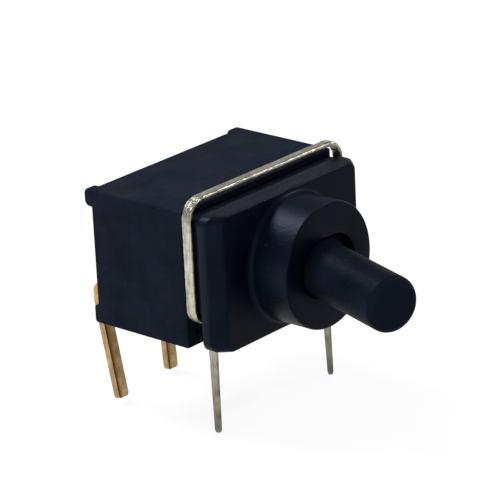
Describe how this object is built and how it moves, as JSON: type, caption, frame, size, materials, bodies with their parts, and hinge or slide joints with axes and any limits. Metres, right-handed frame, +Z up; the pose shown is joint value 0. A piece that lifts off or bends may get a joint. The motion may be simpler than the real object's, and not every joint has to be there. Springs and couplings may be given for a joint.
{
  "type": "toggle switch",
  "caption": "Right-angle circuit-board toggle switch: a square black case and round collar with a leaning lever, bent gilt terminals and a tinned wire support hoop.",
  "frame": {"origin": "middle of the case's underside, the face that rests on the circuit board", "axes": "+X across the switch along the terminal row, -Y the way the collar and lever point, +Z up off the board"},
  "size_m": [0.0067, 0.0103, 0.0072],
  "materials": {
    "case_plastic": "moulded glass-filled nylon, blue-black, slightly satin",
    "bushing_plastic": "moulded glass-filled nylon, blue-black, slightly satin",
    "lever_plastic": "moulded nylon, black, satin",
    "seal_rubber": "black nitrile rubber",
    "pin_steel": "turned stainless steel",
    "spring_steel": "drawn stainless spring wire",
    "contact_alloy": "gold-flashed spring alloy",
    "gilt_strip": "gold-plated stamped copper alloy strip",
    "sealing_resin": "poured black epoxy resin",
    "tinned_wire": "dull tin plate on formed flat wire"
  },
  "bodies": {
    "housing": {"case": "case_plastic", "bushing": "bushing_plastic", "lever_seal": "seal_rubber", "left_terminal": "gilt_strip", "common_terminal": "gilt_strip", "right_terminal": "gilt_strip", "terminal_seal": "sealing_resin", "support_hoop": "tinned_wire"},
    "lever": {"lever": "lever_plastic", "plunger_spring": "spring_steel"},
    "plunger": {"plunger": "pin_steel"},
    "rocker": {"rocker_contact": "contact_alloy"}
  },
  "joints": [
    {"name": "lever_throw", "type": "hinge", "parent": "housing", "child": "lever", "pos_m": [0, -0.00348, 0.00203], "axis": [0, 0, 1], "range_deg": [0, 36]},
    {"name": "rocker_tilt", "type": "hinge", "parent": "housing", "child": "rocker", "pos_m": [0, -0.00006, 0.00203], "axis": [0, 0, 1], "range_deg": [-14, 0]},
    {"name": "plunger_slide", "type": "slide", "parent": "lever", "child": "plunger", "axis": [-0.309, -0.9511, 0], "range_m": [0, 0.0002], "stiffness_N_per_m": 200}
  ],
  "couplings": [
    {"joint": "rocker_tilt", "follows": "lever_throw", "ratio": -0.38888}
  ]
}
